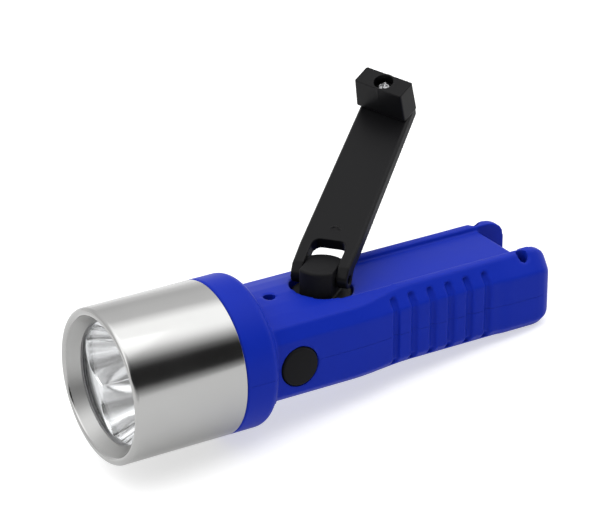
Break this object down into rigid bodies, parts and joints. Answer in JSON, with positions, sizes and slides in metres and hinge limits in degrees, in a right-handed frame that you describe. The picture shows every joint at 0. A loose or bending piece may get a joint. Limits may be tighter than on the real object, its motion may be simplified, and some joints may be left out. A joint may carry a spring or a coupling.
{
  "type": "hand crank flashlight",
  "caption": "Flashlight with a polished metal head, a moulded grip handle with a side push button, and a folding crank on a turntable that drives a dynamo through gears.",
  "frame": {"origin": "on the axis of the round head, in the flat face of the tail end, under the notch", "axes": "+X from the lens towards the tail, along the axis of the head; +Z towards the side with the crank; the push button faces -Y"},
  "size_m": [0.159, 0.0782, 0.0868],
  "materials": {
    "polished_aluminium": "polished tube, finely brushed on the turned lip",
    "grey_silicone": "satin",
    "clear_plastic": "clear, polished",
    "chromed_plastic": "vacuum chromed",
    "led_resin": "clear resin over yellow phosphor",
    "board": "lacquered",
    "blue_plastic": "satin moulded",
    "black_plastic": "satin moulded",
    "bright_steel": "bright plated",
    "brass": "turned",
    "white_nylon": "moulded",
    "aluminium_plate": "pressed sheet",
    "magnet": "sintered",
    "copper": "enamelled wire",
    "cell_case": "plated can"
  },
  "bodies": {
    "housing": {"head_sleeve": "polished_aluminium", "lens_gasket": "grey_silicone", "lens": "clear_plastic", "reflector": "chromed_plastic", "led_1": "led_resin", "led_2": "led_resin", "led_3": "led_resin", "led_board": "board", "body_upper": "blue_plastic", "body_lower": "blue_plastic", "casing_screw_front": "bright_steel", "casing_screw_near": "bright_steel", "casing_screw_far": "bright_steel", "push_switch": "black_plastic", "circuit_board": "board", "hub_bush": "brass", "gear_axle": "bright_steel", "gear_plate": "aluminium_plate", "stator_core": "bright_steel", "stator_winding": "copper", "cell_1": "cell_case", "cell_2": "cell_case", "cell_3": "cell_case"},
    "turntable": {"crank_hub": "black_plastic", "hinge_pin": "bright_steel", "drive_gear": "white_nylon", "gear_screw": "bright_steel"},
    "arm": {"crank_arm": "black_plastic", "knob_screw": "bright_steel"},
    "hand_knob": {"knob": "black_plastic"},
    "button": {"button_cap": "black_plastic"},
    "step_up": {"compound_gear": "white_nylon"},
    "rotor": {"rotor_shaft": "bright_steel", "rotor_magnet": "magnet"}
  },
  "joints": [
    {"name": "crank_spin", "type": "hinge", "parent": "housing", "child": "turntable", "pos_m": [-0.07835, 0, 0.0126], "axis": [0, 0, 1], "continuous": true},
    {"name": "arm_fold", "type": "hinge", "parent": "turntable", "child": "arm", "pos_m": [-0.07835, 0, 0.01765], "axis": [0.6334, -0.7738, 0], "range_deg": [-3, 130]},
    {"name": "knob_spin", "type": "hinge", "parent": "arm", "child": "hand_knob", "pos_m": [-0.02415, 0.04436, 0.04503], "axis": [-0.2817, -0.2306, 0.9314], "continuous": true},
    {"name": "button_press", "type": "slide", "parent": "housing", "child": "button", "axis": [0, 1, 0], "range_m": [0, 0.0011], "stiffness_N_per_m": 1000, "springref_m": -0.0005},
    {"name": "step_up_spin", "type": "hinge", "parent": "housing", "child": "step_up", "pos_m": [-0.05945, 0, 0.0005], "axis": [0, 0, 1], "continuous": true},
    {"name": "rotor_spin", "type": "hinge", "parent": "housing", "child": "rotor", "pos_m": [-0.04595, 0, -0.007], "axis": [0, 0, 1], "continuous": true}
  ],
  "couplings": [
    {"joint": "step_up_spin", "follows": "crank_spin", "ratio": -3.6667},
    {"joint": "rotor_spin", "follows": "crank_spin", "ratio": 14.667}
  ]
}
